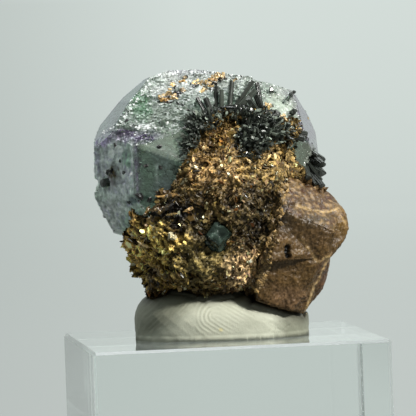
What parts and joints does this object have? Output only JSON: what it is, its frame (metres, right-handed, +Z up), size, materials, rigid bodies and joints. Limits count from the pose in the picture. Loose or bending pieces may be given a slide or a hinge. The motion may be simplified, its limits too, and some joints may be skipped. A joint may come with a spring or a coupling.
{
  "type": "fluorite with schorl specimen",
  "caption": "Pale green and violet fluorite crystal with black schorl on a mica and feldspar matrix, set in putty on a clear acrylic display block.",
  "frame": {"origin": "centre of the display block's underside", "axes": "+Z up; +X along the block's front edge to the viewer's right; +Y away from the viewer"},
  "size_m": [0.0318, 0.0318, 0.0418],
  "materials": {
    "acrylic": "clear, polished",
    "putty": "satin, finger-pressed",
    "mica_rock": "rough, glittering flakes",
    "feldspar": "dull cleavage faces",
    "fluorite": "glassy, translucent",
    "schorl": "glossy, striated"
  },
  "bodies": {
    "root": {"display_block": "acrylic", "putty_pad": "putty", "mica_matrix": "mica_rock", "feldspar": "feldspar", "fluorite": "fluorite", "small_fluorite": "fluorite", "schorl_spray": "schorl", "schorl_fan": "schorl", "schorl_crystal_1": "schorl", "schorl_crystal_2": "schorl", "schorl_crystal_3": "schorl", "schorl_crystal_4": "schorl", "schorl_crystal_5": "schorl", "schorl_crystal_6": "schorl", "schorl_crystal_7": "schorl"}
  },
  "joints": []
}
